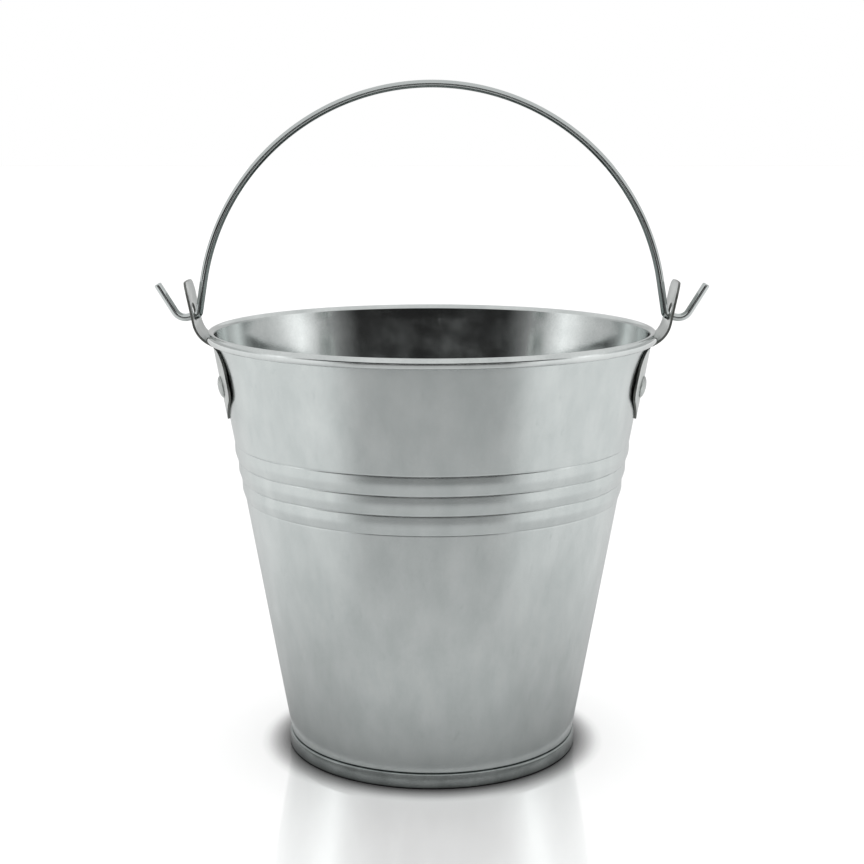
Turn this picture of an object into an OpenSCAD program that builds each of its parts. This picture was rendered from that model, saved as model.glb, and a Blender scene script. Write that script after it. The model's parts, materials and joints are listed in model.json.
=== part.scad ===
/* [Pail wall] */
// Height from the floor to the top of the rolled rim
rim_h = 124; // [90:1:200]
// Outside radius of the rolled rim
rim_r = 65; // [52:1:100]
// Outside radius of the wall just above the foot seam
foot_r = 42.2; // [34:0.1:80]
// Thickness of the wall sheet
wall_t = 0.3; // [0.2:0.05:0.5]
// Outside height of the hollow rolled rim
curl_h = 3; // [2.4:0.1:4]
// Outside width of the hollow rolled rim
curl_w = 2.5; // [2:0.1:4]
// Angle that the rolled rim turns through
curl_turn = 300; // [240:5:310]

/* [Swaged beads] */
// Number of beads that stiffen the wall
bead_count = 3; // [0:1:5]
// Height of the crease above the topmost bead
bead_top = 92; // [60:0.5:100]
// Height of one bead, crease to crease
bead_pitch = 5.5; // [3:0.1:9]
// How far a bead stands proud of the cone
bead_rise = 0.4; // [0.2:0.05:1]

/* [Side lock seam] */
// Width of the folded seam down the back
lock_w = 5; // [3:0.1:8]
// How far the folded seam stands proud of the wall
lock_rise = 0.6; // [0.3:0.05:1]
// Plain wall left between the foot seam and the end of the lock seam
lock_end = 1; // [0.5:0.1:5]

/* [Base and foot seam] */
// Thickness of the base sheet
base_t = 0.3; // [0.2:0.05:0.5]
// Height of the double seam that joins base and wall
seam_h = 4.3; // [3.5:0.1:7]
// Play between two folded layers of the double seam
seam_gap = 0.04; // [0.02:0.01:0.08]
// Clear height under the base panel
base_recess = 3.2; // [2:0.1:5]
// Bend radius where the base panel turns down, to the middle of the sheet
base_bend_r = 0.8; // [0.5:0.1:1.5]
// Bend radius at the foot of the seam, to the middle of the sheet
foot_bend_r = 0.5; // [0.4:0.05:0.6]

/* [Ears] */
// Thickness of the ear sheet
ear_t = 0.65; // [0.5:0.05:1]
// Width of the tongue that stands above the rim
tongue_w = 15.5; // [12:0.5:20]
// Height of the tongue above the top of the rim
tongue_rise = 13.7; // [12:0.1:20]
// Lean of the tongue away from upright
tongue_lean = 11.2; // [5:0.1:18]
// Radius of the bend that carries the ear round the rim, to the middle of the sheet
ear_bend_r = 8.275; // [6:0.025:12]
// Angle below level at which the ear passes closest to the rim
ear_nip = 57; // [50:1:70]
// Slope of the short ledge under the rim
ledge_slope = 24; // [15:1:35]
// Width of the riveted plate
plate_w = 48.8; // [40:0.2:60]
// Height of the riveted plate, from its bottom edge to the top of the rim
plate_drop = 25.5; // [22:0.2:40]
// Width of the level stretch at the bottom of the plate
plate_foot_w = 18; // [8:1:24]
// Gap between the top edge of the plate and the rolled rim
plate_top_gap = 1.1; // [0.5:0.1:3]
// Height of the sloped lower corners of the plate
plate_corner_h = 8.8; // [4:0.1:14]
// Diameter of the hole that the bail hooks through
hole_d = 5.2; // [4:0.1:7]
// Height of the middle of the hole above the top of the rim
hole_rise = 4.8; // [4:0.1:8]

/* [Rivets] */
// Diameter of the domed head
head_d = 6.2; // [5:0.1:8]
// Height of the domed head
head_h = 1.2; // [0.8:0.1:2]
// Diameter of the shank
shank_d = 3; // [2:0.1:4]
// Diameter of the flattened tail inside the pail
tail_d = 4.8; // [4:0.1:6]
// Thickness of the flattened tail
tail_h = 0.9; // [0.5:0.1:1.5]
// Distance between the two rivets of an ear, across the plate
rivet_span = 30.2; // [24:0.2:40]
// Distance of the rivets below the top of the rim
rivet_drop = 14.7; // [12:0.1:20]

/* [Bail] */
// Diameter of the bail wire
wire_d = 2.2; // [1.8:0.1:3]
// Height of the bail above the top of the rim when it stands upright
bail_rise = 70.5; // [60:0.5:120]
// Length of the straight legs below the arc of the bail
leg_len = 9; // [2:0.5:20]
// Bend radius inside the ear, to the middle of the wire
inner_bend_r = 1.4; // [1.4:0.1:2]
// Length of straight wire outside the middle of the ear's sheet
journal = 1.9; // [1.5:0.1:5]
// Bend radius of the hook, to the middle of the wire
hook_bend_r = 3.5; // [2:0.1:5]
// Angle of the hook's end above level
hook_angle = 58.5; // [40:0.5:75]
// Length of straight wire at the hook's end
hook_len = 9.4; // [5:0.1:15]

/* [Fits] */
// Gap between the riveted plate and the wall
ear_gap = 0.05; // [0.02:0.01:0.1]
// Gap between the ear and the rolled rim
rim_gap = 0.42; // [0.2:0.01:1]
// Gap between the bail's legs and the tongues
leg_gap = 0.2; // [0.1:0.01:0.5]
// Gap between the wire and the bottom of the ear's hole
rest_gap = 0.1; // [0.08:0.01:0.2]
// Radial gap between a rivet's shank and its holes
shank_gap = 0.05; // [0.02:0.01:0.1]
// Gap between a rivet's tail and the wall
tail_gap = 0.06; // [0.05:0.01:0.1]

/* [Hidden] */
ROUND = 96;
WIRE_ROUND = 32;
ARC_STEP = 12.5;
BEAD_STEPS = 8;
FAR = 400;
drill_len = 6;
ear_sector = 60;

// Folded layers of the double seam, by the radius of the middle of each sheet
seam_pitch = wall_t / 2 + base_t / 2 + seam_gap;
neck_in = 0.5;
neck_low = seam_h - 0.2;
neck_high = neck_low + 0.65;
wall_r = foot_r - neck_in - wall_t / 2;
chuck_r = wall_r - seam_pitch;
cover_hook_r = wall_r + seam_pitch;
body_hook_r = wall_r + 2 * seam_pitch;
skirt_r = wall_r + 3 * seam_pitch;
body_fold_z = base_t + seam_gap + wall_t / 2 + seam_pitch;
cover_fold_z = seam_h - base_t / 2 - seam_pitch;
hook_play = 0.4;

// Rolled rim, an oval about curl_c that starts on the top of the cone
curl_mid = [curl_w - wall_t, curl_h - wall_t] / 2;
curl_c = [rim_r - curl_w / 2, rim_h - curl_h / 2];
curl_low = rim_h - curl_h;

// Cone of the wall, by its outside surface
cone_top_r = rim_r - curl_w + wall_t;
cone_top_z = curl_c[1];
taper = (cone_top_r - foot_r) / (cone_top_z - neck_high);
taper_angle = atan(taper);
function cone_r(z) = foot_r + (z - neck_high) * taper;

// Points along an arc about c, about one every ARC_STEP degrees
function arc(c, r, from, to) =
    let (n = ceil(abs(to - from) / ARC_STEP))
    [for (i = [0:n]) c + r * [cos(from + (to - from) * i / n), sin(from + (to - from) * i / n)]];
function oval(c, half, from, to) = [for (p = arc([0, 0], 1, from, to)) c + [p[0] * half[0], p[1] * half[1]]];
function unit(v) = v / norm(v);
function left_of(v) = [-v[1], v[0]];
// Sideways step at a point of a path, lengthened at a corner so that the sheet keeps its thickness
function side_step(path, i) =
    let (last = len(path) - 1,
         a = unit(path[max(i, 1)] - path[max(i, 1) - 1]),
         b = unit(path[min(i, last - 1) + 1] - path[min(i, last - 1)]),
         m = unit(left_of(a) + left_of(b)))
    m / (m * left_of(a));
// Outline of a sheet between two distances to the left of a path
function band(path, low, high) = concat(
    [for (i = [0:len(path) - 1]) path[i] + side_step(path, i) * high],
    [for (i = [len(path) - 1:-1:0]) path[i] + side_step(path, i) * low]);
// Corner points [x, y, r] turned into an outline with corners rounded to r
function rounded(corners) =
    let (n = len(corners))
    [for (i = [0:n - 1])
        let (p = [corners[i][0], corners[i][1]],
             r = corners[i][2],
             before = corners[(i + n - 1) % n],
             after = corners[(i + 1) % n],
             a = unit([before[0], before[1]] - p),
             b = unit([after[0], after[1]] - p),
             half = acos(a * b) / 2,
             c = p + unit(a + b) * r / sin(half),
             start = p + a * r / tan(half) - c,
             end = p + b * r / tan(half) - c,
             from = atan2(start[1], start[0]),
             turn = (atan2(end[1], end[0]) - from + 540) % 360 - 180)
        each arc(c, r, from, from + turn)];

// Middle of the wall sheet, from the tip of its hook in the foot seam to the end of the rolled rim
bead_low = bead_top - bead_count * bead_pitch;
function bead_point(k, i) =
    let (z = bead_low + (k + i / BEAD_STEPS) * bead_pitch)
    [cone_r(z) - wall_t / 2 + bead_rise * sin(180 * i / BEAD_STEPS), z];
cone_path = concat(
    [[foot_r - wall_t / 2, neck_high]],
    [for (k = [0:1:bead_count - 1]) for (i = [0:BEAD_STEPS - 1]) bead_point(k, i)],
    [[cone_r(bead_top) - wall_t / 2, bead_top]],
    [[cone_top_r - wall_t / 2, cone_top_z]]);
wall_path = concat(
    [[body_hook_r, cover_fold_z - hook_play]],
    arc([cover_hook_r, body_fold_z], seam_pitch, 0, -180),
    [[wall_r, neck_low]],
    [for (i = [0:len(cone_path) - 2]) cone_path[i]],
    oval(curl_c, curl_mid, 180, 180 - curl_turn));

// Middle of the base sheet, from its centre to the tip of its hook in the foot seam
panel_z = base_recess + base_t / 2;
base_path = concat(
    [[0, panel_z]],
    arc([chuck_r - base_bend_r, panel_z - base_bend_r], base_bend_r, 90, 0),
    arc([chuck_r + foot_bend_r, base_t / 2 + foot_bend_r], foot_bend_r, 180, 270),
    arc([skirt_r - foot_bend_r, base_t / 2 + foot_bend_r], foot_bend_r, -90, 0),
    arc([body_hook_r, cover_fold_z], seam_pitch, 0, 180),
    [[cover_hook_r, body_fold_z + hook_play]]);

// Ear, in the plane of its middle: tongue, bend round the rim, ledge, plate against the wall
nip_depth = (curl_w + curl_h) / 4;
ear_bend_c = curl_c + (ear_bend_r - ear_t / 2 - nip_depth - rim_gap) * [-cos(ear_nip), sin(ear_nip)];
ear_bend_top = ear_bend_c + ear_bend_r * [cos(tongue_lean), -sin(tongue_lean)];
lean_dir = [sin(tongue_lean), cos(tongue_lean)];
tongue_top = rim_h + tongue_rise;
plate_mid = ear_gap + ear_t / 2 / cos(taper_angle);
plate_bottom = rim_h - plate_drop;
ledge_start = ear_bend_c + ear_bend_r * [sin(ledge_slope), -cos(ledge_slope)];
ledge_run = (ledge_start[0] - cone_r(ledge_start[1]) - plate_mid) / (cos(ledge_slope) - taper * sin(ledge_slope));
ledge_end = ledge_start - ledge_run * [cos(ledge_slope), sin(ledge_slope)];
function at_height(z) = ear_bend_top + lean_dir * (z - ear_bend_top[1]) / lean_dir[1];
ear_path = concat(
    [at_height(tongue_top + ear_t)],
    arc(ear_bend_c, ear_bend_r, -tongue_lean, ledge_slope - 90),
    [ledge_end],
    [[cone_r(plate_bottom - ear_t) + plate_mid, plate_bottom - ear_t]]);
plate_top = curl_low - plate_top_gap;
plate_corner_z = plate_bottom + plate_corner_h;
tongue_corner_r = 3;
throat_r = 1;
shoulder_r = 7.5;
side_r = 5;
foot_corner_r = 12;
ear_half = [[tongue_w / 2, tongue_top, tongue_corner_r], [tongue_w / 2, plate_top, throat_r],
            [plate_w / 2, plate_top, shoulder_r], [plate_w / 2, plate_corner_z, side_r],
            [plate_foot_w / 2, plate_bottom, foot_corner_r]];
function mirrored(corners) = [for (i = [len(corners) - 1:-1:0]) [-corners[i][0], corners[i][1], corners[i][2]]];

// Hinge axis of the bail: the wire rests in the bottom of the ear's hole
hole_c = at_height(rim_h + hole_rise);
hole_low = hole_c[1] - hole_d / 2 * cos(tongue_lean) + ear_t / 2 * sin(tongue_lean);
hinge_z = hole_low + wire_d / 2 + rest_gap;

// Rivets, by azimuth from the X axis and height
rivet_z = rim_h - rivet_drop;
rivet_azimuth = asin(rivet_span / 2 / cone_r(rivet_z));
head_sphere_r = (pow(head_d / 2, 2) + pow(head_h, 2)) / (2 * head_h);

// Bail, in its own plane: an arc, a straight leg, a bend into the hole, a journal square to the tongue and a hook
pivot = at_height(hinge_z);
bail_top_z = rim_h + bail_rise - wire_d / 2;
face_r = pivot[0] - ear_t / 2 / cos(tongue_lean);
hole_chord = sqrt(pow(hole_d, 2) - pow(hole_d - wire_d - 2 * rest_gap, 2)) / 2;
// Corner between leg and journal, for legs that lean away from upright. When the bail is folded down, a leg clears
// the tongue from the edge of the hole outwards
function leg_foot_x(lean) = face_r - leg_gap - wire_d / 2 / cos(lean) + hole_chord * tan(lean);
function leg_corner(lean) =
    let (k = tan(lean) * tan(tongue_lean),
         x = (leg_foot_x(lean) - pivot[0] * k) / (1 - k))
    [x, hinge_z + (pivot[0] - x) * tan(tongue_lean)];
function inner_run(lean) = inner_bend_r * tan((90 - tongue_lean - lean) / 2);
// Lean at which an arc and a leg of the set length join the top of the bail to the corner
function lean_to(corner, run) = 90 - 2 * atan((bail_top_z - corner[1]) / (corner[0] + leg_len + run));
first_lean = lean_to(leg_corner(0), inner_run(0));
corner = leg_corner(first_lean);
leg_lean = lean_to(corner, inner_run(first_lean));
inner_turn = 90 - tongue_lean - leg_lean;
leg_run = leg_len + inner_run(first_lean);
bail_r = (corner[0] - leg_run * sin(leg_lean)) / cos(leg_lean);
bail_c_z = bail_top_z - bail_r;
leg_dir = [sin(leg_lean), -cos(leg_lean)];
hole_dir = [cos(tongue_lean), -sin(tongue_lean)];
leg_top = corner - leg_run * leg_dir;
leg_end = corner - inner_bend_r * tan(inner_turn / 2) * leg_dir;
inner_end = corner + inner_bend_r * tan(inner_turn / 2) * hole_dir;
journal_end = pivot + journal * hole_dir;
splice_gap = 0.1;
splice_len = 0.4;
splice_rise = 0.08;

module revolved(outline) {
    rotate_extrude($fn = ROUND) polygon(outline);
}

// Solid wedge of the ring that an outline sweeps, wide enough for one ear and centred on +X
module revolved_sector(outline, spread) {
    rotate([0, 0, -spread / 2]) rotate_extrude(angle = spread, $fn = ROUND) polygon(outline);
}

// Frame of a rivet: origin on the outside of the wall, +Z out along the rivet
module at_rivet(side, end) {
    facing = side > 0 ? 0 : 180;
    rotate([0, 0, facing + side * end * rivet_azimuth])
        translate([cone_r(rivet_z), 0, rivet_z])
            rotate([0, 90 + taper_angle, 0])
                children();
}

module rivet_holes(side) {
    for (end = [-1, 1]) {
        at_rivet(side, end)
            cylinder(d = shank_d + 2 * shank_gap, h = drill_len, center = true, $fn = ROUND);
    }
}

module lock_seam() {
    low = neck_high + lock_end;
    path = concat([[cone_r(low) - wall_t / 2, low]],
                  [for (i = [1:len(cone_path) - 2]) cone_path[i]],
                  [[cone_r(curl_low - lock_end) - wall_t / 2, curl_low - lock_end]]);
    intersection() {
        revolved(band(path, -wall_t / 2 - lock_rise, 0));
        translate([-lock_w / 2, 0, 0]) cube([lock_w, FAR, FAR]);
    }
}

module wall() {
    color("gainsboro") difference() {
        union() {
            revolved(band(wall_path, -wall_t / 2, wall_t / 2));
            lock_seam();
        }
        rivet_holes(1);
        rivet_holes(-1);
    }
}

module base() {
    color("silver") revolved(band(base_path, -base_t / 2, base_t / 2));
}

module ear(side) {
    outline = rounded(concat(ear_half, mirrored(ear_half)));
    color("lightgray") difference() {
        rotate([0, 0, side > 0 ? 0 : 180]) intersection() {
            revolved_sector(band(ear_path, -ear_t / 2, ear_t / 2), ear_sector);
            rotate([90, 0, 90]) linear_extrude(height = FAR) polygon(outline);
        }
        rivet_holes(side);
        translate([side * hole_c[0], 0, hole_c[1]])
            rotate([0, side * (90 + tongue_lean), 0])
                cylinder(d = hole_d, h = drill_len, center = true, $fn = ROUND);
    }
}

module rivet(side, end) {
    seat = ear_gap * cos(taper_angle) + ear_t;
    tail_seat = wall_t + tail_gap;
    color("darkgray") at_rivet(side, end) {
        intersection() {
            translate([0, 0, seat + head_h - head_sphere_r]) sphere(r = head_sphere_r, $fn = ROUND);
            translate([0, 0, seat]) cylinder(d = head_d, h = 2 * head_h, $fn = ROUND);
        }
        translate([0, 0, -tail_seat - tail_h / 2])
            cylinder(d = shank_d, h = seat + tail_seat + tail_h / 2 + head_h / 2, $fn = ROUND);
        translate([0, 0, -tail_seat - tail_h]) cylinder(d = tail_d, h = tail_h, $fn = ROUND);
    }
}

// Stretches of wire stop short of each other inside a thin sleeve, which makes them one wire
module wire_arc(r, from, to) {
    short = asin(splice_gap / 2 / r);
    rotate([0, 0, from + short]) rotate_extrude(angle = to - from - 2 * short, $fn = ROUND)
        translate([r, 0]) circle(d = wire_d, $fn = WIRE_ROUND);
}

// A straight wire between two points
module wire_straight(from, to) {
    run = to - from;
    translate(from) rotate([0, 0, atan2(run[1], run[0])]) translate([splice_gap / 2, 0]) rotate([0, 90, 0])
        cylinder(d = wire_d, h = norm(run) - splice_gap, $fn = WIRE_ROUND);
}

// A sleeve round the wire at a point, for a wire that runs at the given angle
module splice(point, angle) {
    translate(point) rotate([0, 0, angle]) rotate([0, 90, 0])
        cylinder(d = wire_d + 2 * splice_rise, h = splice_len, center = true, $fn = WIRE_ROUND);
}

// One end of the bail, on the +X side: leg, bend, journal and hook
module bail_end() {
    hook_c = journal_end + hook_bend_r * left_of(hole_dir);
    hook_start = hook_c + hook_bend_r * [sin(hook_angle), -cos(hook_angle)];
    splice(leg_top, leg_lean - 90);
    wire_straight(leg_top, leg_end);
    splice(leg_end, leg_lean - 90);
    translate(leg_end + inner_bend_r * left_of(leg_dir))
        wire_arc(inner_bend_r, 180 + leg_lean, 270 - tongue_lean);
    splice(inner_end, -tongue_lean);
    wire_straight(inner_end, journal_end);
    splice(journal_end, -tongue_lean);
    translate(hook_c) wire_arc(hook_bend_r, 270 - tongue_lean, 270 + hook_angle);
    splice(hook_start, hook_angle);
    wire_straight(hook_start, hook_start + hook_len * [cos(hook_angle), sin(hook_angle)]);
}

module bail() {
    color("slategray") rotate([90, 0, 0]) {
        translate([0, bail_c_z]) wire_arc(bail_r, leg_lean, 180 - leg_lean);
        bail_end();
        mirror([1, 0, 0]) bail_end();
    }
}

wall();
base();
ear(-1);  // ear_left
ear(1);  // ear_right
rivet(-1, -1);  // rivet_left_front
rivet(-1, 1);  // rivet_left_rear
rivet(1, -1);  // rivet_right_front
rivet(1, 1);  // rivet_right_rear
bail();
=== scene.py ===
"""A florist bucket: a small tapered pail of zinc-coated sheet with a wire bail.

The shapes are worked out in millimetres and written into the meshes in metres.
The pail's axis is +Z, the bail's hinge lies along X, and -Y is the front.
"""
import json
import math

import bpy
import numpy as np
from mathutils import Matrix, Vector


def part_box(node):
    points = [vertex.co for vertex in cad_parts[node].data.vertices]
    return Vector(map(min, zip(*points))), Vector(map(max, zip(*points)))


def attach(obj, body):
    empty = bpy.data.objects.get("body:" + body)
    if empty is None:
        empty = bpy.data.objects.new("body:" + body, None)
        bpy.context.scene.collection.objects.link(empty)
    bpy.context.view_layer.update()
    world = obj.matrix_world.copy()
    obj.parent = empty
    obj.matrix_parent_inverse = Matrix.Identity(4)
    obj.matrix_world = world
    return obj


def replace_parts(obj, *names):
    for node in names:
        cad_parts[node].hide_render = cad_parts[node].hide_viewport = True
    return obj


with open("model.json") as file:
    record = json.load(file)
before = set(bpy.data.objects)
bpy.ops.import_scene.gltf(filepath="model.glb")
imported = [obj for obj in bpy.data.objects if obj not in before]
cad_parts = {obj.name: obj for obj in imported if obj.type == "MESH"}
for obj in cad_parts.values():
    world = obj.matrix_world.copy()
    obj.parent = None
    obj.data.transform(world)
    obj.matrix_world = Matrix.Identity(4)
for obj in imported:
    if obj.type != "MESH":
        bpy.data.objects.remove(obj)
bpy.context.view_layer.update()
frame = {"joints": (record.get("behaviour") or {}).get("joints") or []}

MM = 0.001


def in_mm(corner):
    return np.array(corner) / MM


wall_high = in_mm(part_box("wall")[1])
base_high = in_mm(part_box("base")[1])
bail_high = in_mm(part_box("bail")[1])
ear_low, ear_high = (in_mm(c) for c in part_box("ear_right"))
hinge_z = frame["joints"][0]["pos_m"][2] / MM

# ---------------------------------------------------------------- sizes, in mm
sheet_t = 0.3
rim_h = wall_high[2]
rim_r = wall_high[0]
curl_h = 3.0
curl_w = 2.5
curl_turn = 300
curl_low = rim_h - curl_h
seam_h = base_high[2]
seam_gap = 0.04
neck_in = 0.5
neck_low = seam_h - 0.2
neck_high = neck_low + 0.65
seam_pitch = sheet_t + seam_gap
skirt_r = base_high[0] - sheet_t / 2
wall_r = skirt_r - 3 * seam_pitch
foot_r = wall_r + sheet_t / 2 + neck_in
cone_top_r = rim_r - curl_w + sheet_t
cone_top_z = rim_h - curl_h / 2
taper = (cone_top_r - foot_r) / (cone_top_z - neck_high)
taper_angle = math.atan(taper)

bead_count = 3
bead_top = 92.0
bead_pitch = 5.5
bead_rise = 0.4
bead_crest = 0.14
crease_depth = 0.08
crease_half = 0.22

lock_w = 5.0
lock_rise = 0.6

base_recess = 3.2
base_bend_r = 0.8
foot_bend_r = 0.5
hook_play = 0.4

ear_t = 0.65
tongue_half = 7.75
tongue_top = ear_high[2]
tongue_lean = math.radians(11.2)
ear_bend_r = 8.275
ear_nip = math.radians(57)
ledge_slope = math.radians(24)
plate_half = ear_high[1]
plate_bottom = ear_low[2]
plate_top = curl_low - 1.1
plate_corner_h = 8.8
plate_corner_z = plate_bottom + plate_corner_h
plate_foot_half = 9.0
shoulder_r = 7.5
hole_r = 2.6
hole_z = rim_h + 4.8
ear_gap = 0.05
rim_gap = 0.42

rivet_z = rim_h - 14.7
rivet_half_span = 15.1
head_r = 3.1
head_h = 1.2
shank_r = 1.5
tail_r = 2.4
tail_h = 0.9
tail_gap = 0.06

wire_r = 1.1
leg_len = 9.0
inner_bend_r = 1.4
journal = 1.9
hook_bend_r = 3.5
hook_angle = math.radians(58.5)
hook_len = 9.4
leg_gap = 0.2
rest_gap = 0.1


# ---------------------------------------------------------------- numpy helpers
def smooth_step(x):
    """0 below 0, 1 above 1, and 3x^2 - 2x^3 between."""
    x = np.clip(x, 0, 1)
    return x * x * (3 - 2 * x)


def arc(centre, radius, start, end, steps):
    """Points centre + radius (cos a, sin a) for angles a from start to end, in degrees."""
    a = np.radians(np.linspace(start, end, steps + 1))
    return np.array(centre) + radius * np.stack([np.cos(a), np.sin(a)], -1)


def line(start, end, steps):
    """Evenly spaced points of a straight line, without its two ends."""
    t = np.linspace(0, 1, steps + 1)[1:-1, None]
    return np.array(start) * (1 - t) + np.array(end) * t


def rounded(corners, steps=8):
    """An open outline of corners (x, y, r), each inner one rounded by a tangent arc of radius r."""
    points = [np.array(corners[0][:2])[None]]
    for before, here, after in zip(corners, corners[1:], corners[2:]):
        p, r = np.array(here[:2]), here[2]
        a = np.array(before[:2]) - p
        b = np.array(after[:2]) - p
        a, b = a / np.linalg.norm(a), b / np.linalg.norm(b)
        half = np.arccos(a @ b) / 2
        centre = p + (a + b) / np.linalg.norm(a + b) * r / math.sin(half)
        start, end = p + a * r / math.tan(half) - centre, p + b * r / math.tan(half) - centre
        first = math.degrees(math.atan2(start[1], start[0]))
        turn = (math.degrees(math.atan2(end[1], end[0])) - first + 540) % 360 - 180
        points.append(arc(centre, r, first, first + turn, steps))
    points.append(np.array(corners[-1][:2])[None])
    return np.concatenate(points)


def side_normals(path):
    """Unit normals to the right of a path at each point, from the direction between its two neighbours."""
    along = np.gradient(path, axis=0)
    along /= np.linalg.norm(along, axis=1)[:, None]
    return np.stack([along[:, 1], -along[:, 0]], -1)


def grid_quads(rows, cols, wrap_rows=False, wrap_cols=False):
    """Quads between neighbouring points of a grid numbered row by row, closed on itself where asked."""
    i, j = np.meshgrid(np.arange(rows - (not wrap_rows)), np.arange(cols - (not wrap_cols)), indexing="ij")
    up, right = (i + 1) % rows, (j + 1) % cols
    return np.stack([i * cols + j, i * cols + right, up * cols + right, up * cols + j], -1).reshape(-1, 4)


def faces_outwards(points, quads):
    """The quads of a closed shell, turned round if the volume that they enclose is negative."""
    a, b, c, d = (points[quads[:, k]] for k in range(4))
    volume = np.einsum("ij,ij->i", a, np.cross(b, c) + np.cross(c, d)).sum()
    return quads if volume > 0 else quads[:, ::-1]


def add_piece(name, points, quads, caps=(), material_index=None, uv=None):
    """Makes a smooth mesh object from points in mm, quads, and end caps that are rings of point numbers."""
    mesh = bpy.data.meshes.new(name)
    corners = np.concatenate([quads.ravel(), *caps]).astype(np.int32)
    sizes = np.array([4] * len(quads) + [len(c) for c in caps])
    mesh.vertices.add(len(points))
    mesh.vertices.foreach_set("co", (points * MM).astype(np.float32).ravel())
    mesh.loops.add(len(corners))
    mesh.loops.foreach_set("vertex_index", corners)
    mesh.polygons.add(len(sizes))
    mesh.polygons.foreach_set("loop_start", (np.cumsum(sizes) - sizes).astype(np.int32))
    mesh.polygons.foreach_set("use_smooth", np.ones(len(sizes), bool))
    if material_index is not None:
        mesh.polygons.foreach_set("material_index", material_index.astype(np.int32))
    if uv is not None:
        layer = mesh.uv_layers.new(name="UVMap")
        layer.data.foreach_set("uv", uv[corners].astype(np.float32).ravel())
    mesh.update(calc_edges=True)
    mesh.validate()
    made = bpy.data.objects.new(name, mesh)
    bpy.context.scene.collection.objects.link(made)
    return made


# ---------------------------------------------------------------- materials
def linear(hex_colour, alpha=1.0):
    """An sRGB hex colour as linear red, green, blue and alpha."""
    srgb = [int(hex_colour[i:i + 2], 16) / 255 for i in (1, 3, 5)]
    return (*(c / 12.92 if c <= 0.04045 else ((c + 0.055) / 1.055) ** 2.4 for c in srgb), alpha)


def add_node(tree, kind, inputs=None, **settings):
    """Adds a node, sets its settings, and gives each named input a value or the output that feeds it."""
    made = tree.nodes.new(kind)
    for name, value in settings.items():
        setattr(made, name, value)
    for name, value in (inputs or {}).items():
        if isinstance(value, bpy.types.NodeSocket):
            tree.links.new(value, made.inputs[name])
        else:
            made.inputs[name].default_value = value
    return made


def mottle(tree, size, detail=4.0, roughness=0.5, stretch=(1, 1, 1), source="Object", seed=(0, 0, 0)):
    """Noise, 0 to 1, whose lumps are size mm across, drawn out by stretch along each axis."""
    place = add_node(tree, "ShaderNodeTexCoord").outputs[source]
    scale = [1 / (size * MM * s) for s in stretch]
    mapped = add_node(tree, "ShaderNodeMapping", {"Vector": place, "Scale": scale, "Location": seed})
    inputs = {"Vector": mapped.outputs[0], "Scale": 1.0, "Detail": detail, "Roughness": roughness}
    return add_node(tree, "ShaderNodeTexNoise", inputs).outputs["Fac"]


def spread(tree, value, low, high, out_low=0.0, out_high=1.0):
    """value taken from low..high to out_low..out_high, and held at the ends."""
    inputs = {"Value": value, "From Min": low, "From Max": high, "To Min": out_low, "To Max": out_high}
    return add_node(tree, "ShaderNodeMapRange", inputs).outputs[0]


def combine(tree, operation, first, second):
    """Sum, product or another operation of two values."""
    return add_node(tree, "ShaderNodeMath", {0: first, 1: second}, operation=operation).outputs[0]


def grey_ramp(tree, value, levels):
    """A grey that follows value through (position, level) pairs, in straight steps between them."""
    ramp = add_node(tree, "ShaderNodeValToRGB", {"Fac": value})
    stops = ramp.color_ramp.elements
    while len(stops) < len(levels):
        stops.new(1.0)
    for stop, (position, level) in zip(stops, levels):
        stop.position = position
        stop.color = (level, level, level, 1)
    return ramp.outputs["Color"]


def zinc_metal(name, dark, light, rough, cloud, grain, wear=0.0, scratch=0.0, source="Object",
               drawn=(1, 1, 1), height=0.004):
    """Metal whose colour and gloss drift over clouds of cloud mm, with a fine grain of grain mm in relief.

    rough is the roughness in the smoothest and dullest clouds, wear darkens small rubbed spots, and scratch
    is the height in mm of hairlines. drawn stretches clouds and grain along each axis, and height is the
    depth in mm of the relief.
    """
    material = bpy.data.materials.new(name)
    material.use_nodes = True
    tree = material.node_tree
    tree.nodes.clear()
    clouds = mottle(tree, cloud, 5, 0.55, drawn, source)
    fine = mottle(tree, grain, 3, 0.6, drawn, source, (3.1, 1.7, 5.3))
    grain_share = 0.35
    tone = combine(tree, "MULTIPLY_ADD", fine, grain_share)
    tone.node.inputs[2].default_value = -grain_share / 2
    tone = combine(tree, "ADD", tone, clouds)
    if wear:
        rubbed = mottle(tree, 2.2, 2, 0.5, drawn, source, (9.2, 4.4, 0.3))
        tone = combine(tree, "ADD", tone, spread(tree, rubbed, 0.68, 0.8, 0.0, -wear))
    tone = spread(tree, tone, 0.3, 0.7)
    ramp = add_node(tree, "ShaderNodeValToRGB", {"Fac": tone})
    ramp.color_ramp.elements[0].color = linear(dark)
    ramp.color_ramp.elements[1].color = linear(light)
    dullness = mottle(tree, cloud * 0.7, 4, 0.6, drawn, source, (7.7, 2.9, 8.1))
    gloss = spread(tree, dullness, 0.35, 0.65, *rough)
    relief = fine
    if scratch:
        hair = mottle(tree, 0.5, 2, 0.5, (1, 1, 14), source, (5.5, 0.4, 2.8))
        lines = spread(tree, hair, 0.55, 0.75, 0.0, scratch / (height + scratch))
        relief = combine(tree, "ADD", fine, lines)
    bump = add_node(tree, "ShaderNodeBump", {"Height": relief, "Distance": height * MM, "Strength": 1.0})
    shader = add_node(tree, "ShaderNodeBsdfPrincipled", {
        "Base Color": ramp.outputs["Color"],
        "Metallic": 1.0,
        "Roughness": gloss,
        "Normal": bump.outputs["Normal"],
    })
    add_node(tree, "ShaderNodeOutputMaterial", {"Surface": shader.outputs[0]})
    return material


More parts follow.
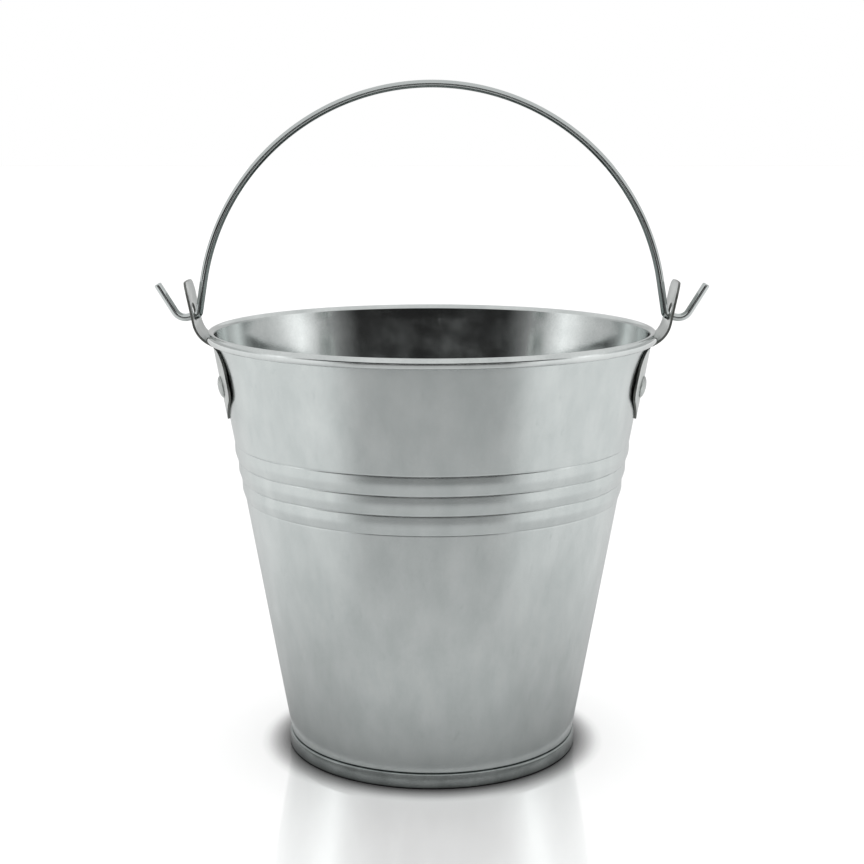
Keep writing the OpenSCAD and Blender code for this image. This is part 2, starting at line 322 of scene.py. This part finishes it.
# Zinc-coated steel sheet, rolled and handled: satin, with soft clouds, rubbed spots and hairlines.
zinc_sheet_outside = zinc_metal(
    "zinc_coated_sheet_rolled", "#BFC5C4", "#CDD2D1", rough=(0.18, 0.26), cloud=7, grain=0.4, wear=0.3,
    scratch=0.0008, drawn=(1, 1, 2.2))
# The same sheet where nothing has rubbed it: bright, so that it mirrors the room in long streaks.
zinc_sheet_inside = zinc_metal(
    "zinc_coated_sheet_bright", "#C4C9C8", "#D9DDDC", rough=(0.08, 0.14), cloud=14, grain=0.6, wear=0.1)
# Base sheet, folded hard into the double seam, with short clouds: its colour is darkened as painted shade for
# the dark floor that the foot ring mirrors.
zinc_base_painted_shade = zinc_metal(
    "zinc_coated_sheet_painted_shade", "#858A89", "#A2A7A6", rough=(0.16, 0.26), cloud=8, grain=0.5, wear=0.2)
# Pressed zinc-coated plate: even satin.
zinc_plate = zinc_metal(
    "zinc_coated_plate_pressed", "#B9BDBB", "#D2D5D3", rough=(0.28, 0.38), cloud=7, grain=0.4, wear=0.2)
# Sheared steel, where the press cut through the coating: darker and rough.
sheared_edge = zinc_metal("steel_sheared", "#6A6C69", "#868884", rough=(0.4, 0.55), cloud=2, grain=0.3)
# Zinc-coated rivet, upset cold: satin, with the marks of the snap.
zinc_rivet = zinc_metal(
    "zinc_coated_rivet_upset", "#A4A8A6", "#C4C8C6", rough=(0.25, 0.36), cloud=2.5, grain=0.3, wear=0.2)
# Bright zinc-coated wire, drawn through a die: glossy, with fine lines along it.
drawn_wire = zinc_metal(
    "zinc_coated_wire_drawn", "#BDC2C1", "#C9CECD", rough=(0.05, 0.09), cloud=3, grain=0.5, wear=0.1,
    source="UV", drawn=(1, 40, 1), height=0.0006)


# ---------------------------------------------------------------- sheet-metal shapes
def cone_r(z):
    """Outside radius of the wall's cone at height z."""
    return foot_r + (z - neck_high) * taper


def revolved_sheet(path, azimuths, thickness, moved=None):
    """A closed skin round a path (r, z) turned about the Z axis.

    The outline is the path half a thickness to its right and back half a thickness to its left.
    moved(azimuth, z, right) gives how far a point goes along the path's right-hand normal.
    """
    normals = side_normals(path)
    outline = np.concatenate([path + normals * thickness / 2, (path - normals * thickness / 2)[::-1]])
    normals = np.concatenate([normals, normals[::-1]])
    right = np.arange(len(outline)) < len(path)
    a, k = np.meshgrid(azimuths, np.arange(len(outline)), indexing="ij")
    rz = outline[k]
    if moved is not None:
        rz = rz + normals[k] * moved(a, rz[..., 1], right[k])[..., None]
    points = np.stack([rz[..., 0] * np.cos(a), rz[..., 0] * np.sin(a), rz[..., 1]], -1).reshape(-1, 3)
    quads = grid_quads(len(azimuths), len(outline), wrap_rows=True, wrap_cols=True)
    on_right = np.tile(right & np.roll(right, -1), len(azimuths))
    return points, faces_outwards(points, quads), on_right


# Middle of the wall sheet, from the tip of its hook in the foot seam to the end of the rolled rim
body_fold_z = 2 * sheet_t + seam_gap - sheet_t / 2 + seam_pitch
cover_fold_z = seam_h - sheet_t / 2 - seam_pitch
curl_c = np.array([rim_r - curl_w / 2, rim_h - curl_h / 2])
curl_half = np.array([curl_w - sheet_t, curl_h - sheet_t]) / 2
bead_low = bead_top - bead_count * bead_pitch
bead_steps = 14
creases = bead_low + bead_pitch * np.arange(bead_count + 1)


def wall_middle(z):
    """Radius of the middle of the wall sheet: the cone, beads and creases.

    A bead has two flat flanks and a crest rounded as a hyperbola. The crease on each side is a bell curve.
    """
    phase = (z - bead_low) / bead_pitch
    across = 2 * (phase % 1) - 1
    crest = math.hypot(1, bead_crest)
    bead = (crest - np.hypot(across, bead_crest)) / (crest - bead_crest) * (phase > 0) * (phase < bead_count)
    crease = np.exp(-((z[..., None] - creases) / crease_half) ** 2).sum(-1)
    return cone_r(z) - sheet_t / 2 + bead_rise * bead - crease_depth * crease


def cone_path():
    """The wall between the foot seam and the rolled rim, dense over the beads."""
    z = np.concatenate([
        np.linspace(neck_high, bead_low, 20)[:-1],
        np.linspace(bead_low, bead_top, bead_count * bead_steps + 1),
        (creases[:, None] + np.array([-0.55, -0.36, -0.22, -0.1, 0.1, 0.22, 0.36, 0.55])).ravel(),
        np.linspace(bead_top, cone_top_z, 10)[1:],
    ])
    z = np.unique(np.round(z, 4))
    return np.stack([wall_middle(z), z], -1)


wall_path = np.concatenate([
    [[wall_r + 2 * seam_pitch, cover_fold_z - hook_play]],
    arc((wall_r + seam_pitch, body_fold_z), seam_pitch, 0, -180, 10),
    line((wall_r, body_fold_z), (wall_r, neck_low), 3),
    rounded([(wall_r, neck_low - 0.3, 0), (wall_r, neck_low, 0.3), (foot_r - sheet_t / 2, neck_high, 0.3),
             (cone_r(neck_high + 1) - sheet_t / 2, neck_high + 1, 0)], 4)[1:-1],
    cone_path()[1:],
    curl_c + curl_half * arc((0, 0), 1, 180, 180 - curl_turn, 34)[1:],
])

# Azimuths, close together over the lock seam at the back
seam_zone = math.radians(5.5)
azimuths = np.concatenate([
    np.linspace(math.pi / 2 - seam_zone, math.pi / 2 + seam_zone, 44, endpoint=False),
    np.linspace(math.pi / 2 + seam_zone, math.tau + math.pi / 2 - seam_zone, 236, endpoint=False),
])
chance = np.random.default_rng(11)
ripple_count = 12
ripples = [(chance.integers(2, 13), chance.uniform(0.02, 0.09), *chance.uniform(0, math.tau, 2))
           for _ in range(ripple_count)]
ripple_height = 0.02
seam_groove = 0.12


def wall_moved(azimuth, z, outside):
    """Shallow ripples left by rolling, and the folded lock seam that stands out of the back.

    The ripples are a sum of sines round the wall times sines up it. They fade out at the foot seam and rim.
    The lock seam is a strip with smooth-step sides outside and a bell-shaped groove along one edge inside.
    """
    free = smooth_step((z - neck_high - 1) / 10) * smooth_step((curl_low - z) / 8)
    wave = sum(np.sin(n * azimuth + p) * np.sin(k * z + q) for n, k, p, q in ripples)
    across = (azimuth - math.pi / 2) * cone_r(z)
    band = smooth_step((lock_w / 2 + across) / 0.25) * smooth_step((lock_w / 2 - across) / 0.9)
    ends = smooth_step((z - neck_high - 1) / 0.6) * smooth_step((curl_low - 1 - z) / 0.6)
    groove = np.exp(-((across + lock_w / 2) / 0.3) ** 2) * -seam_groove
    return ripple_height * wave * free + np.where(outside, lock_rise * band, groove) * ends


def make_wall():
    points, quads, outside = revolved_sheet(wall_path, azimuths, sheet_t, wall_moved)
    made = add_piece("wall_skin", points, quads, material_index=~outside)
    made.data.materials.append(zinc_sheet_outside)
    made.data.materials.append(zinc_sheet_inside)
    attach(made, "pail")
    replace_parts(made, "wall")


make_wall()


def make_base():
    """The base pan: flat panel, down into the foot, round it and up over the wall's hook."""
    chuck_r = wall_r - seam_pitch
    panel_z = base_recess + sheet_t / 2
    hub = 0.4
    path = np.concatenate([
        [[hub, panel_z]],
        line((hub, panel_z), (chuck_r - base_bend_r, panel_z), 14),
        arc((chuck_r - base_bend_r, panel_z - base_bend_r), base_bend_r, 90, 0, 8),
        arc((chuck_r + foot_bend_r, sheet_t / 2 + foot_bend_r), foot_bend_r, 180, 270, 8),
        arc((skirt_r - foot_bend_r, sheet_t / 2 + foot_bend_r), foot_bend_r, -90, 0, 8),
        line((skirt_r, sheet_t / 2 + foot_bend_r), (skirt_r, cover_fold_z), 5),
        arc((skirt_r - seam_pitch, cover_fold_z), seam_pitch, 0, 180, 12),
        [[skirt_r - 2 * seam_pitch, body_fold_z + hook_play]],
    ])
    normals = side_normals(path)
    outline = np.concatenate([(path - normals * sheet_t / 2), (path + normals * sheet_t / 2)[::-1]])
    turns = np.linspace(0, math.tau, 256, endpoint=False)
    points = np.stack([
        outline[:, 0] * np.cos(turns)[:, None],
        outline[:, 0] * np.sin(turns)[:, None],
        np.broadcast_to(outline[:, 1], (len(turns), len(outline))),
    ], -1).reshape(-1, 3)
    n = len(outline)
    quads = grid_quads(len(turns), n, wrap_rows=True)
    upper = np.arange(len(turns)) * n
    made = add_piece("base_pan", points, quads, [upper, (upper + n - 1)[::-1]])
    # The base's darkened colour is painted shade
    made.data.materials.append(zinc_base_painted_shade)
    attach(made, "pail")
    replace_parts(made, "base")


make_base()


# ---------------------------------------------------------------- ears
nip_depth = (curl_w + curl_h) / 4
nip_dir = np.array([-math.cos(ear_nip), math.sin(ear_nip)])
ear_bend_c = curl_c + (ear_bend_r - ear_t / 2 - nip_depth - rim_gap) * nip_dir
bend_top = ear_bend_c + ear_bend_r * np.array([math.cos(tongue_lean), -math.sin(tongue_lean)])
ledge_start = ear_bend_c + ear_bend_r * np.array([math.sin(ledge_slope), -math.cos(ledge_slope)])
plate_mid = ear_gap + ear_t / 2 / math.cos(taper_angle)
ledge_run = (ledge_start[0] - cone_r(ledge_start[1]) - plate_mid) / (
    math.cos(ledge_slope) - taper * math.sin(ledge_slope))
ledge_end = ledge_start - ledge_run * np.array([math.cos(ledge_slope), math.sin(ledge_slope)])
ledge_bend_r = 0.5
spring_start = 12
spring_rate = 0.0033


def at_height(z):
    """Radius and height of the middle of the leaning tongue at height z."""
    return bend_top + np.array([math.tan(tongue_lean), 1]) * (z - bend_top[1])


def ear_profile():
    """Middle of the ear sheet as (radius, height) from its bottom edge to the top of its tongue."""
    foot = (cone_r(plate_bottom) + plate_mid, plate_bottom)
    bend = rounded([foot, (*ledge_end, ledge_bend_r), tuple(ledge_start)], 8)[:-1]
    low = math.degrees(ledge_slope) - 90
    return np.concatenate([bend, arc(ear_bend_c, ear_bend_r, low, -math.degrees(tongue_lean), 40),
                           [at_height(tongue_top + 1)]])


def ear_surface(y, z):
    """A point of the flat outline (y, z) carried onto the bent sheet, which is concentric with the pail.

    Its radius follows the profile on the tongue and the cone on the plate's two wings. The wings' edges
    spring away from the wall with the square of their distance past spring_start, and less towards the top.
    """
    profile = ear_profile()
    on_plate = cone_r(z) + plate_mid
    wing = smooth_step((np.abs(y) - tongue_half) / 1.2)
    radius = np.interp(z, profile[:, 1], profile[:, 0]) * (1 - wing) + on_plate * wing
    spring = spring_rate * np.clip(np.abs(y) - spring_start, 0, None) ** 2
    radius = radius + spring * (0.35 + 0.65 * smooth_step((plate_top - z) / 9))
    return np.stack([np.sqrt(radius ** 2 - y ** 2), y, z], -1)


def make_ear(side, name):
    """An ear plate, from its flat outline carried onto the bent sheet.

    A lower grid covers the plate and its wings. An upper grid covers the tongue, with a ring round its hole.
    """
    throat_r = 1.0
    tongue_corner_r = 3.0
    throat_z = plate_top + throat_r
    side_r = 5
    corner_side = plate_corner_z + 3.0
    floor_line = rounded([(0, plate_bottom), (plate_foot_half, plate_bottom, 12),
                          (plate_half, plate_corner_z, side_r), (plate_half, corner_side + 1)], 16)
    wing_line = rounded([(tongue_half, throat_z + 0.01), (tongue_half, plate_top, throat_r),
                         (plate_half, plate_top, shoulder_r), (plate_half, plate_top - 9)], 14)
    crown_line = rounded([(0, tongue_top), (tongue_half, tongue_top, tongue_corner_r),
                          (tongue_half, tongue_top - 4)], 12)

    tongue_cols = 16
    ease = np.sin(np.linspace(-math.pi / 2, math.pi / 2, tongue_cols + 1))
    even = np.linspace(-1, 1, tongue_cols + 1)
    tongue_y = tongue_half * (0.6 * even + 0.4 * ease)
    wing_y = wing_line[(wing_line[:, 1] < throat_z - 0.001)][:, 0]
    straight = np.linspace(tongue_half + throat_r, plate_half - shoulder_r, 8)[1:-1]
    wing_y = np.unique(np.round(np.concatenate([wing_y, straight]), 4))
    wing_y = wing_y[wing_y > tongue_half + 0.01]
    y = np.concatenate([-wing_y[::-1], tongue_y, wing_y])
    bottom = np.interp(np.abs(y), floor_line[:, 0], floor_line[:, 1])
    corner_turn = math.pi / 2 - math.atan2(plate_corner_h, plate_half - plate_foot_half)
    bottom[np.abs(y) > plate_half - 0.001] = plate_corner_z + side_r * math.tan(corner_turn / 2)
    on_tongue = np.abs(y) <= tongue_half + 0.001
    top = np.where(on_tongue, throat_z, np.interp(np.abs(y), wing_line[:, 0], wing_line[:, 1]))

    bend_low = ledge_end[1] - 0.5
    profile = ear_profile()
    bend_rows = profile[(profile[:, 1] > bend_low) & (profile[:, 1] < throat_z - 0.05)][:, 1]
    edge_bottom = bottom[on_tongue][0]
    plate_rows = np.linspace(0, 1, 15)
    z_ref = np.concatenate([edge_bottom + plate_rows * (bend_low - edge_bottom), bend_rows, [throat_z]])
    share = (z_ref - edge_bottom) / (throat_z - edge_bottom)
    lower = bottom + share[:, None] * (top - bottom)
    level = np.concatenate([bottom[None] + plate_rows[:, None] * (bend_low - bottom), np.broadcast_to(
        np.append(bend_rows, throat_z)[:, None], (len(bend_rows) + 1, len(y)))])
    lower = np.where(on_tongue, level, lower)
    low_y = np.broadcast_to(y, lower.shape)
    low_rows = len(lower)
    quads = [grid_quads(low_rows, len(y))]
    flat = [np.stack([low_y, lower], -1).reshape(-1, 2)]

    # Upper grid: rows from the throat to the crown, the first shared with the lower grid
    crown = np.interp(np.abs(tongue_y), crown_line[:, 0], crown_line[:, 1])
    crown[[0, -1]] = tongue_top - tongue_corner_r
    up_rows = 24
    rise = profile[(profile[:, 1] > throat_z) & (profile[:, 1] < bend_top[1])][:, 1]
    rise = rise[::2]
    on_bend = (rise - throat_z) / (tongue_top - throat_z)
    t = np.unique(np.concatenate([on_bend, np.linspace(0.32, 1, up_rows)]))
    upper = throat_z + t[:, None] * (crown - throat_z)
    cols = len(tongue_y)
    start = len(flat[0])
    flat.append(np.stack([np.broadcast_to(tongue_y, upper.shape), upper], -1).reshape(-1, 2))
    first_col = int(np.argmax(on_tongue))
    index = np.concatenate([
        ((low_rows - 1) * len(y) + first_col + np.arange(cols))[None],
        start + np.arange(upper.size).reshape(upper.shape),
    ])
    z_rows = np.concatenate([[throat_z], upper[:, cols // 2]])
    reach = 4.6
    j0, j1 = np.searchsorted(tongue_y, -reach), cols - 1 - np.searchsorted(tongue_y, -reach)
    i0 = int(np.argmin(np.abs(z_rows - (hole_z - reach))))
    i1 = int(np.argmin(np.abs(z_rows - (hole_z + reach))))
    cells = np.stack([index[:-1, :-1], index[:-1, 1:], index[1:, 1:], index[1:, :-1]], -1)
    keep = np.ones(cells.shape[:2], bool)
    keep[i0:i1, j0:j1] = False
    quads.append(cells[keep])

    # Ring of quads from the window's edge to the round hole
    edge = np.concatenate([index[i0, j0:j1], index[i0:i1, j1], index[i1, j1:j0:-1], index[i1:i0:-1, j0]])
    all_flat = np.concatenate(flat)
    outer = all_flat[edge]
    centre = np.array([0, hole_z])
    direction = outer - centre
    direction /= np.linalg.norm(direction, axis=1)[:, None]
    hole = centre + direction * hole_r * np.array([1, math.cos(tongue_lean)])
    steps = 6
    w = smooth_step(np.linspace(0, 1, steps + 1)[1:] * 0.5) * 2
    ring = outer[None] * (1 - w[:, None, None]) + hole[None] * w[:, None, None]
    count = len(edge)
    ring_index = np.concatenate([edge[None], len(all_flat) + np.arange(steps * count).reshape(steps, count)])
    after = np.roll(ring_index, -1, axis=1)
    quads.append(np.stack([ring_index[:-1], after[:-1], after[1:], ring_index[1:]], -1).reshape(-1, 4))
    all_flat = np.concatenate([all_flat, ring.reshape(-1, 2)])

    points = ear_surface(all_flat[:, 0], all_flat[:, 1])
    points[:, 0] *= side
    quads = np.concatenate(quads)
    if side < 0:
        quads = quads[:, ::-1]
    made = add_piece(name, points, quads)
    made.data.materials.append(zinc_plate)
    made.data.materials.append(sheared_edge)
    solid = made.modifiers.new("thickness", "SOLIDIFY")
    solid.thickness = ear_t * MM
    solid.offset = 0
    solid.use_even_offset = True
    solid.material_offset_rim = 1
    edges = made.modifiers.new("broken_edges", "BEVEL")
    edges.width = 0.1 * MM
    edges.segments = 2
    edges.limit_method = "ANGLE"
    edges.angle_limit = math.radians(60)
    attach(made, "pail")
    return made


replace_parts(make_ear(1, "ear_plate_right"), "ear_right")
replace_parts(make_ear(-1, "ear_plate_left"), "ear_left")


# ---------------------------------------------------------------- rivets
def make_rivet(side, end, node):
    """A domed head, a shank and a flattened tail: a profile (radius, height) turned about its own axis."""
    seat = ear_gap * math.cos(taper_angle) + ear_t
    tail_seat = -sheet_t - tail_gap
    dome = np.radians(np.linspace(1, 78, 14))
    brim = 0.25
    dome_rise = (np.cos(dome) - math.cos(dome[-1])) / (1 - math.cos(dome[-1]))
    profile = np.concatenate([
        np.stack([head_r * np.sin(dome) / math.sin(dome[-1]), seat + brim + (head_h - brim) * dome_rise], -1),
        [[head_r, seat + 0.12], [head_r - 0.12, seat], [shank_r + 0.05, seat], [shank_r, seat - 0.05]],
        [[shank_r, tail_seat + 0.05], [shank_r + 0.05, tail_seat], [tail_r - 0.25, tail_seat]],
        arc((tail_r - 0.3, tail_seat - 0.35), 0.3, 60, -80, 6),
        [[tail_r - 1.0, tail_seat - tail_h + 0.03], [0.3, tail_seat - tail_h]],
    ])
    turns = np.linspace(0, math.tau, 48, endpoint=False)
    local = np.stack([
        profile[:, 0] * np.cos(turns)[:, None],
        profile[:, 0] * np.sin(turns)[:, None],
        np.broadcast_to(profile[:, 1], (len(turns), len(profile))),
    ], -1).reshape(-1, 3)
    azimuth = (0 if side > 0 else math.pi) + side * end * math.asin(rivet_half_span / cone_r(rivet_z))
    out = np.array([math.cos(azimuth) * math.cos(taper_angle), math.sin(azimuth) * math.cos(taper_angle),
                    -math.sin(taper_angle)])
    level = np.array([-math.sin(azimuth), math.cos(azimuth), 0])
    up = np.cross(out, level)
    seat_point = np.array([cone_r(rivet_z) * math.cos(azimuth), cone_r(rivet_z) * math.sin(azimuth), rivet_z])
    points = seat_point + local @ np.stack([level, up, out])
    n = len(profile)
    quads = grid_quads(len(turns), n, wrap_rows=True)
    ends = np.arange(len(turns)) * n
    made = add_piece(node + "_upset", points, quads, [ends, (ends + n - 1)[::-1]])
    made.data.materials.append(zinc_rivet)
    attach(made, "pail")
    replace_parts(made, node)


for side, side_name in ((-1, "left"), (1, "right")):
    for end, end_name in ((-1, "front"), (1, "rear")):
        make_rivet(side, end, f"rivet_{side_name}_{end_name}")


# ---------------------------------------------------------------- bail
def bail_path():
    """Middle of the wire in its own plane (x, z), from the top of its arc to the end of the right hook.

    The arc runs into a straight leg. The leg bends into a journal square to the tongue, and that bends into
    the hook. The lean of the leg is the one at which an arc and a leg of the set length join the top of the
    bail to the corner between leg and journal.
    """
    pivot = at_height(hinge_z)
    top = bail_high[2] - wire_r
    face_r = pivot[0] - ear_t / 2 / math.cos(tongue_lean)
    chord = math.sqrt(hole_r ** 2 - (hole_r - wire_r - rest_gap) ** 2)
    slope = math.tan(tongue_lean)
    lean, corner = 0.0, None
    for _ in range(2):
        foot_x = face_r - leg_gap - wire_r / math.cos(lean) + chord * math.tan(lean)
        x = (foot_x - pivot[0] * math.tan(lean) * slope) / (1 - math.tan(lean) * slope)
        corner = np.array([x, hinge_z + (pivot[0] - x) * slope])
        run = leg_len + inner_bend_r * math.tan((math.pi / 2 - tongue_lean - lean) / 2)
        lean = math.pi / 2 - 2 * math.atan((top - corner[1]) / (corner[0] + run))
    leg_dir = np.array([math.sin(lean), -math.cos(lean)])
    hole_dir = np.array([math.cos(tongue_lean), -math.sin(tongue_lean)])
    outwards = np.array([math.cos(lean), math.sin(lean)])
    upwards = np.array([math.sin(tongue_lean), math.cos(tongue_lean)])
    bail_r = (corner[0] - run * leg_dir[0]) / math.cos(lean)
    tangent = inner_bend_r * math.tan((math.pi / 2 - tongue_lean - lean) / 2)
    leg_end = corner - tangent * leg_dir
    journal_end = pivot + journal * hole_dir
    lean_deg, slope_deg, hook_deg = (math.degrees(a) for a in (lean, tongue_lean, hook_angle))
    swing = arc((0, top - bail_r), bail_r, 90, lean_deg, 110)
    inner = arc(leg_end + inner_bend_r * outwards, inner_bend_r, 180 + lean_deg, 270 - slope_deg, 12)
    outer = arc(journal_end + hook_bend_r * upwards, hook_bend_r, 270 - slope_deg, 270 + hook_deg, 18)
    tip = outer[-1] + hook_len * np.array([math.cos(hook_angle), math.sin(hook_angle)])
    return np.concatenate([swing, line(swing[-1], inner[0], 8), inner, line(inner[-1], outer[0], 4), outer,
                           line(outer[-1], tip, 10), [tip]])


def make_bail():
    """A circle carried along the bent path, with its two cut ends rounded over."""
    half = bail_path()
    path = np.concatenate([(half * [-1, 1])[:0:-1], half])
    run = np.concatenate([[0], np.cumsum(np.linalg.norm(np.diff(path, axis=0), axis=1))])
    normals = side_normals(path)
    # The ends are rounded by rings that shrink over the last stretch
    end_r = 0.45
    ring_r = np.full(len(run), wire_r)
    turn = np.radians(np.linspace(0, 90, 7))[1:]
    shrink = wire_r - end_r + end_r * np.cos(turn)
    push = end_r * np.sin(turn)
    first, last = path[0] - path[1], path[-1] - path[-2]
    first, last = first / np.linalg.norm(first), last / np.linalg.norm(last)
    path = np.concatenate([(path[0] - first * end_r + first * push[:, None])[::-1],
                           [path[0] - first * end_r], path[1:-1], [path[-1] - last * end_r],
                           path[-1] - last * end_r + last * push[:, None]])
    ring_r = np.concatenate([shrink[::-1], ring_r, shrink])
    pad = len(shrink)
    normals = np.concatenate([np.repeat(normals[:1], pad, 0), normals, np.repeat(normals[-1:], pad, 0)])
    run = np.concatenate([[0], np.cumsum(np.linalg.norm(np.diff(path, axis=0), axis=1))])
    turns = np.linspace(0, math.tau, 28, endpoint=False)
    out = ring_r[:, None] * np.cos(turns)
    points = np.stack([
        path[:, 0, None] + normals[:, 0, None] * out,
        ring_r[:, None] * np.sin(turns),
        path[:, 1, None] + normals[:, 1, None] * out,
    ], -1).reshape(-1, 3)
    uv = np.stack(np.broadcast_arrays(turns / math.tau * 2 * math.pi * wire_r * MM, run[:, None] * MM), -1)
    quads = grid_quads(len(path), len(turns), wrap_cols=True)
    ends = np.arange(len(turns))
    made = add_piece("bail_wire", points, faces_outwards(points, quads),
                     [ends[::-1], ends + (len(path) - 1) * len(turns)], uv=uv.reshape(-1, 2))
    made.data.materials.append(drawn_wire)
    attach(made, "bail")
    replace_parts(made, "bail")


make_bail()


# ---------------------------------------------------------------- floor, light and camera
floor_white = 0.92
# Levels of painted shade on the ring that the pail mirrors, by the distance in mm from the pail's axis, in
# front of the pail and beside it
FRONT_SHADE = [(48, 0.3), (58, 0.38), (85, 0.48), (118, 0.42), (152, 0.37), (216, 0.34), (290, 0.31),
               (450, 0.2), (650, 0.03)]
SIDE_SHADE = [(48, 0.3), (58, 0.36), (85, 0.42), (118, 0.46), (152, 0.5), (256, 0.56), (1000, 0.6)]
# Light of the room near the horizon, by the angle in degrees round from the front
ROOM_LIGHT = [(0, 0.02), (44, 0.025), (54, 0.19), (66, 0.5), (80, 1.3), (88, 1.1), (95, 0.85), (107, 0.66),
              (136, 0.55), (180, 0.6)]
CEILING_LIGHT = 0.85


def stage_mesh(name, points, faces):
    """A stage object from points in mm."""
    mesh = bpy.data.meshes.new(name)
    mesh.from_pydata([tuple(c * MM for c in point) for point in points], [], faces)
    made = bpy.data.objects.new(name, mesh)
    bpy.context.scene.collection.objects.link(made)
    return made


def coated_white(name, colour, roughness, gloss):
    """Smooth white coating: gloss is the share of light that it mirrors."""
    material = bpy.data.materials.new(name)
    material.use_nodes = True
    tree = material.node_tree
    tree.nodes.clear()
    shader = add_node(tree, "ShaderNodeBsdfPrincipled", {
        "Base Color": colour, "Roughness": roughness, "Metallic": gloss, "Specular IOR Level": 0.0})
    output = add_node(tree, "ShaderNodeOutputMaterial", {"Surface": shader.outputs[0]})
    return material, tree, shader, output


def angle_from_front(tree, place):
    """The angle round the vertical axis from -Y, 0 to pi to either side, of the vector place."""
    axes = add_node(tree, "ShaderNodeSeparateXYZ", {0: place})
    sideways = add_node(tree, "ShaderNodeMath", {0: axes.outputs["X"]}, operation="ABSOLUTE").outputs[0]
    forwards = combine(tree, "MULTIPLY", axes.outputs["Y"], -1.0)
    return combine(tree, "ARCTAN2", sideways, forwards), sideways, forwards, axes.outputs["Z"]


def make_floor():
    """A white table with a glossy coating, its colour darkened as painted shade where something stands close
    over it.
    """
    half = 6000
    contact_reach = 9
    contact_power = 3.0
    floor = stage_mesh("floor", [(-half, -half, 0), (half, -half, 0), (half, half, 0), (-half, half, 0)],
                       [(0, 1, 2, 3)])
    white = (floor_white,) * 3 + (1,)
    material, tree, shader, _ = coated_white("white_table", white, roughness=0.07, gloss=0.5)
    # Painted shade: the floor's colour darkens by ambient occlusion close to the pail's foot, as a contact
    # shadow.
    closed_in = add_node(tree, "ShaderNodeAmbientOcclusion", {"Distance": contact_reach * MM}).outputs["AO"]
    painted_contact_shade = combine(tree, "MULTIPLY", combine(tree, "POWER", closed_in, contact_power), floor_white)
    tree.links.new(painted_contact_shade, shader.inputs["Base Color"])
    floor.data.materials.append(material)


def make_painted_shade_ring():
    """A ring of painted shade just over the floor that only the pail's mirror images show, standing in for a
    darker room round the pail.

    It is darker away from the pail in front than to the sides, and clear from below.
    """
    turns = np.linspace(0, math.tau, 64, endpoint=False)
    edges = np.array([48, 2000])[:, None]
    height = 0.4
    points = np.stack([edges * np.cos(turns), edges * np.sin(turns), np.full((2, len(turns)), height)], -1)
    faces = grid_quads(2, len(turns), wrap_cols=True)[:, ::-1]
    ring = stage_mesh("painted_shade_ring", points.reshape(-1, 3).tolist(), faces.tolist())
    material, tree, shader, output = coated_white("painted_shade_card", (1, 1, 1, 1), roughness=0.5, gloss=0.0)
    place = add_node(tree, "ShaderNodeTexCoord").outputs["Object"]
    angle, sideways, forwards, _ = angle_from_front(tree, place)
    squares = [combine(tree, "POWER", part, 2.0) for part in (sideways, forwards)]
    away = combine(tree, "POWER", combine(tree, "ADD", *squares), 0.5)
    tone = add_node(tree, "ShaderNodeMix", {
        "Factor": spread(tree, angle, math.radians(36), math.radians(52)),
        6: grey_ramp(tree, away, [(distance * MM, level) for distance, level in FRONT_SHADE]),
        7: grey_ramp(tree, away, [(distance * MM, level) for distance, level in SIDE_SHADE]),
    }, data_type="RGBA")
    # Painted shade: the ring is darker still behind the pail
    shade_behind = spread(tree, angle, math.radians(115), math.radians(150), 1.0, 0.72)
    ring_painted_shade = add_node(tree, "ShaderNodeVectorMath", {0: tone.outputs[2], "Scale": shade_behind}, operation="SCALE")
    tree.links.new(ring_painted_shade.outputs[0], shader.inputs["Base Color"])
    # The floor's own mirror image looks up through the ring
    one_sided = add_node(tree, "ShaderNodeMixShader", {
        0: add_node(tree, "ShaderNodeNewGeometry").outputs["Backfacing"],
        1: shader.outputs[0],
        2: add_node(tree, "ShaderNodeBsdfTransparent").outputs[0],
    })
    tree.links.new(one_sided.outputs[0], output.inputs["Surface"])
    ring.data.materials.append(material)
    ring.visible_camera = False
    ring.visible_shadow = False
    ring.visible_diffuse = False


def make_room():
    """Softboxes: dark in front of the pail, bright beside it, even overhead, and white to the camera."""
    world = bpy.data.worlds.new("softbox_room")
    bpy.context.scene.world = world
    world.use_nodes = True
    tree = world.node_tree
    tree.nodes.clear()
    place = add_node(tree, "ShaderNodeTexCoord").outputs["Generated"]
    angle, _, _, height = angle_from_front(tree, place)
    levels = [(degrees / 180, level) for degrees, level in ROOM_LIGHT]
    walls = grey_ramp(tree, combine(tree, "DIVIDE", angle, math.pi), levels)
    light = add_node(tree, "ShaderNodeMix", {
        "Factor": spread(tree, height, 0.24, 0.32),
        6: walls,
        7: (CEILING_LIGHT,) * 3 + (1,),
    }, data_type="RGBA")
    seen = add_node(tree, "ShaderNodeLightPath").outputs["Is Camera Ray"]
    shown = add_node(tree, "ShaderNodeMix", {"Factor": seen, 6: light.outputs[2], 7: (1, 1, 1, 1)},
                     data_type="RGBA")
    background = add_node(tree, "ShaderNodeBackground", {"Color": shown.outputs[2], "Strength": 1.0})
    add_node(tree, "ShaderNodeOutputWorld", {"Surface": background.outputs[0]})


def make_overhead():
    """A wide overhead softbox that mirror images don't show."""
    lamp = bpy.data.lights.new("overhead_soft", "SUN")
    lamp.energy = 3.1
    lamp.angle = math.radians(100)
    made = bpy.data.objects.new("overhead_soft", lamp)
    made.visible_glossy = False
    bpy.context.scene.collection.objects.link(made)


def make_camera():
    """A camera in front of the pail, a little above its bail's hinge, looking down."""
    camera = bpy.data.cameras.new("camera")
    camera.sensor_width = 36
    camera.lens = 70.77
    camera.clip_end = 100
    made = bpy.data.objects.new("camera", camera)
    made.location = (0, -489.6 * MM, 183.9 * MM)
    made.rotation_euler = (math.radians(90 - 10.48), 0, 0)
    bpy.context.scene.collection.objects.link(made)
    bpy.context.scene.camera = made


make_floor()
make_painted_shade_ring()
make_room()
make_overhead()
make_camera()
bpy.context.scene.view_settings.view_transform = "Standard"
bpy.context.scene.view_settings.look = "None"
